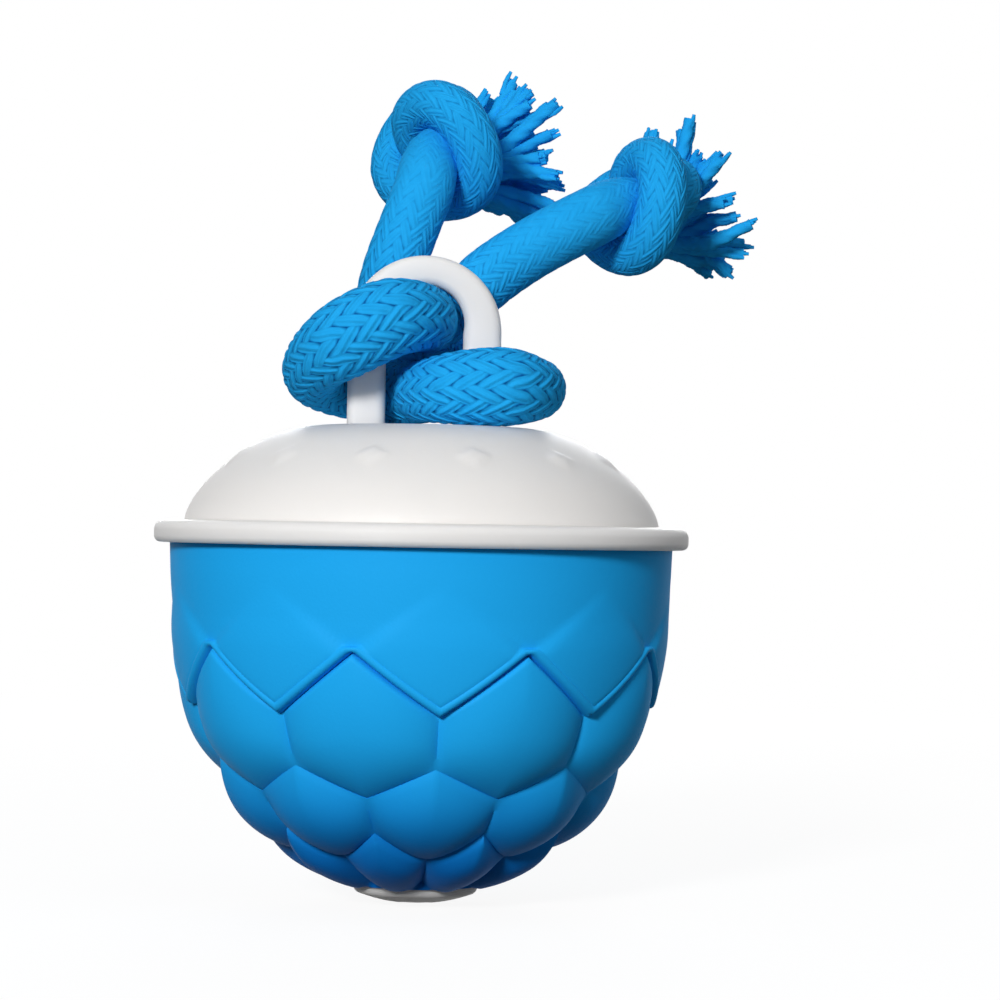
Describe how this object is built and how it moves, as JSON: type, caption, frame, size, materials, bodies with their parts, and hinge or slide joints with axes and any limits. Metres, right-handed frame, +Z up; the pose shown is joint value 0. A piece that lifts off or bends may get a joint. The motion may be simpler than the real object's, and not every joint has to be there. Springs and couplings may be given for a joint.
{
  "type": "rolling ball toy",
  "caption": "Acorn-shaped motorised rolling ball for pets with a scaled soft sleeve, a flanged dome, a top loop and a knotted rope hitched through it.",
  "frame": {"origin": "on the floor under the middle of the foot", "axes": "+Z up along the axis of the dome and the foot, -Y towards the front, +X to the right"},
  "size_m": [0.0971, 0.0981, 0.1343],
  "materials": {
    "white_plastic": "satin white moulding",
    "blue_rubber": "soft matt blue elastomer",
    "blue_rope": "braided yarn",
    "grey_seal": "matt",
    "dark_plastic": "fine moulded texture",
    "gear_plastic": "natural acetal",
    "steel": "bright",
    "bronze": "sintered",
    "board_green": "solder resist",
    "cell_wrap": "shrink sleeve",
    "red_wire": "insulation",
    "black_wire": "insulation",
    "lamp_clear": "clear"
  },
  "bodies": {
    "shell": {"dome_cover": "white_plastic", "rope_loop": "white_plastic", "loop_screw_1": "steel", "loop_screw_2": "steel", "lower_shell": "white_plastic", "shell_screw_1": "steel", "shell_screw_2": "steel", "shell_screw_3": "steel", "rim_seal": "grey_seal", "grip_sleeve": "blue_rubber", "axle_bush": "bronze", "hub_bush": "dark_plastic", "sun_gear": "gear_plastic", "rope": "blue_rope", "tassel_left": "blue_rope", "tassel_right": "blue_rope"},
    "core": {"core_hub": "white_plastic", "circuit_board": "board_green", "controller_chip": "dark_plastic", "tact_switch": "dark_plastic", "charge_led": "lamp_clear", "usb_socket": "steel", "core_chassis": "dark_plastic", "hub_screw_1": "steel", "hub_screw_2": "steel", "hub_screw_3": "steel", "battery_cell": "cell_wrap", "battery_strap": "dark_plastic", "bridge_plate": "dark_plastic", "bridge_screw_1": "steel", "bridge_screw_2": "steel", "bridge_screw_3": "steel", "bridge_screw_4": "steel", "axle": "steel", "thrust_washer": "bronze", "motor_can": "steel", "gear_pin": "steel", "gear_clip": "steel", "counterweight": "steel", "weight_screw_1": "steel", "weight_screw_2": "steel", "motor_lead_1": "black_wire", "motor_lead_2": "red_wire", "battery_lead_1": "black_wire", "battery_lead_2": "red_wire"},
    "compound_gear": {"compound_gear": "gear_plastic"},
    "motor_rotor": {"motor_pinion": "bronze", "motor_shaft": "steel"},
    "button": {"power_button": "dark_plastic"}
  },
  "joints": [
    {"name": "core_spin", "type": "hinge", "parent": "shell", "child": "core", "pos_m": [0, 0, 0.03], "axis": [0, 0, 1], "continuous": true},
    {"name": "compound_spin", "type": "hinge", "parent": "core", "child": "compound_gear", "pos_m": [0.01069, -0.00825, 0.055], "axis": [0, 0, 1], "continuous": true},
    {"name": "motor_spin", "type": "hinge", "parent": "core", "child": "motor_rotor", "pos_m": [0, -0.0125, 0.055], "axis": [0, 0, 1], "continuous": true},
    {"name": "button_press", "type": "slide", "parent": "core", "child": "button", "axis": [0, 0, 1], "range_m": [0, 0.0008], "stiffness_N_per_m": 300, "springref_m": -0.0005}
  ],
  "couplings": [
    {"joint": "compound_spin", "follows": "core_spin", "ratio": 2},
    {"joint": "motor_spin", "follows": "core_spin", "ratio": -5.6667}
  ]
}
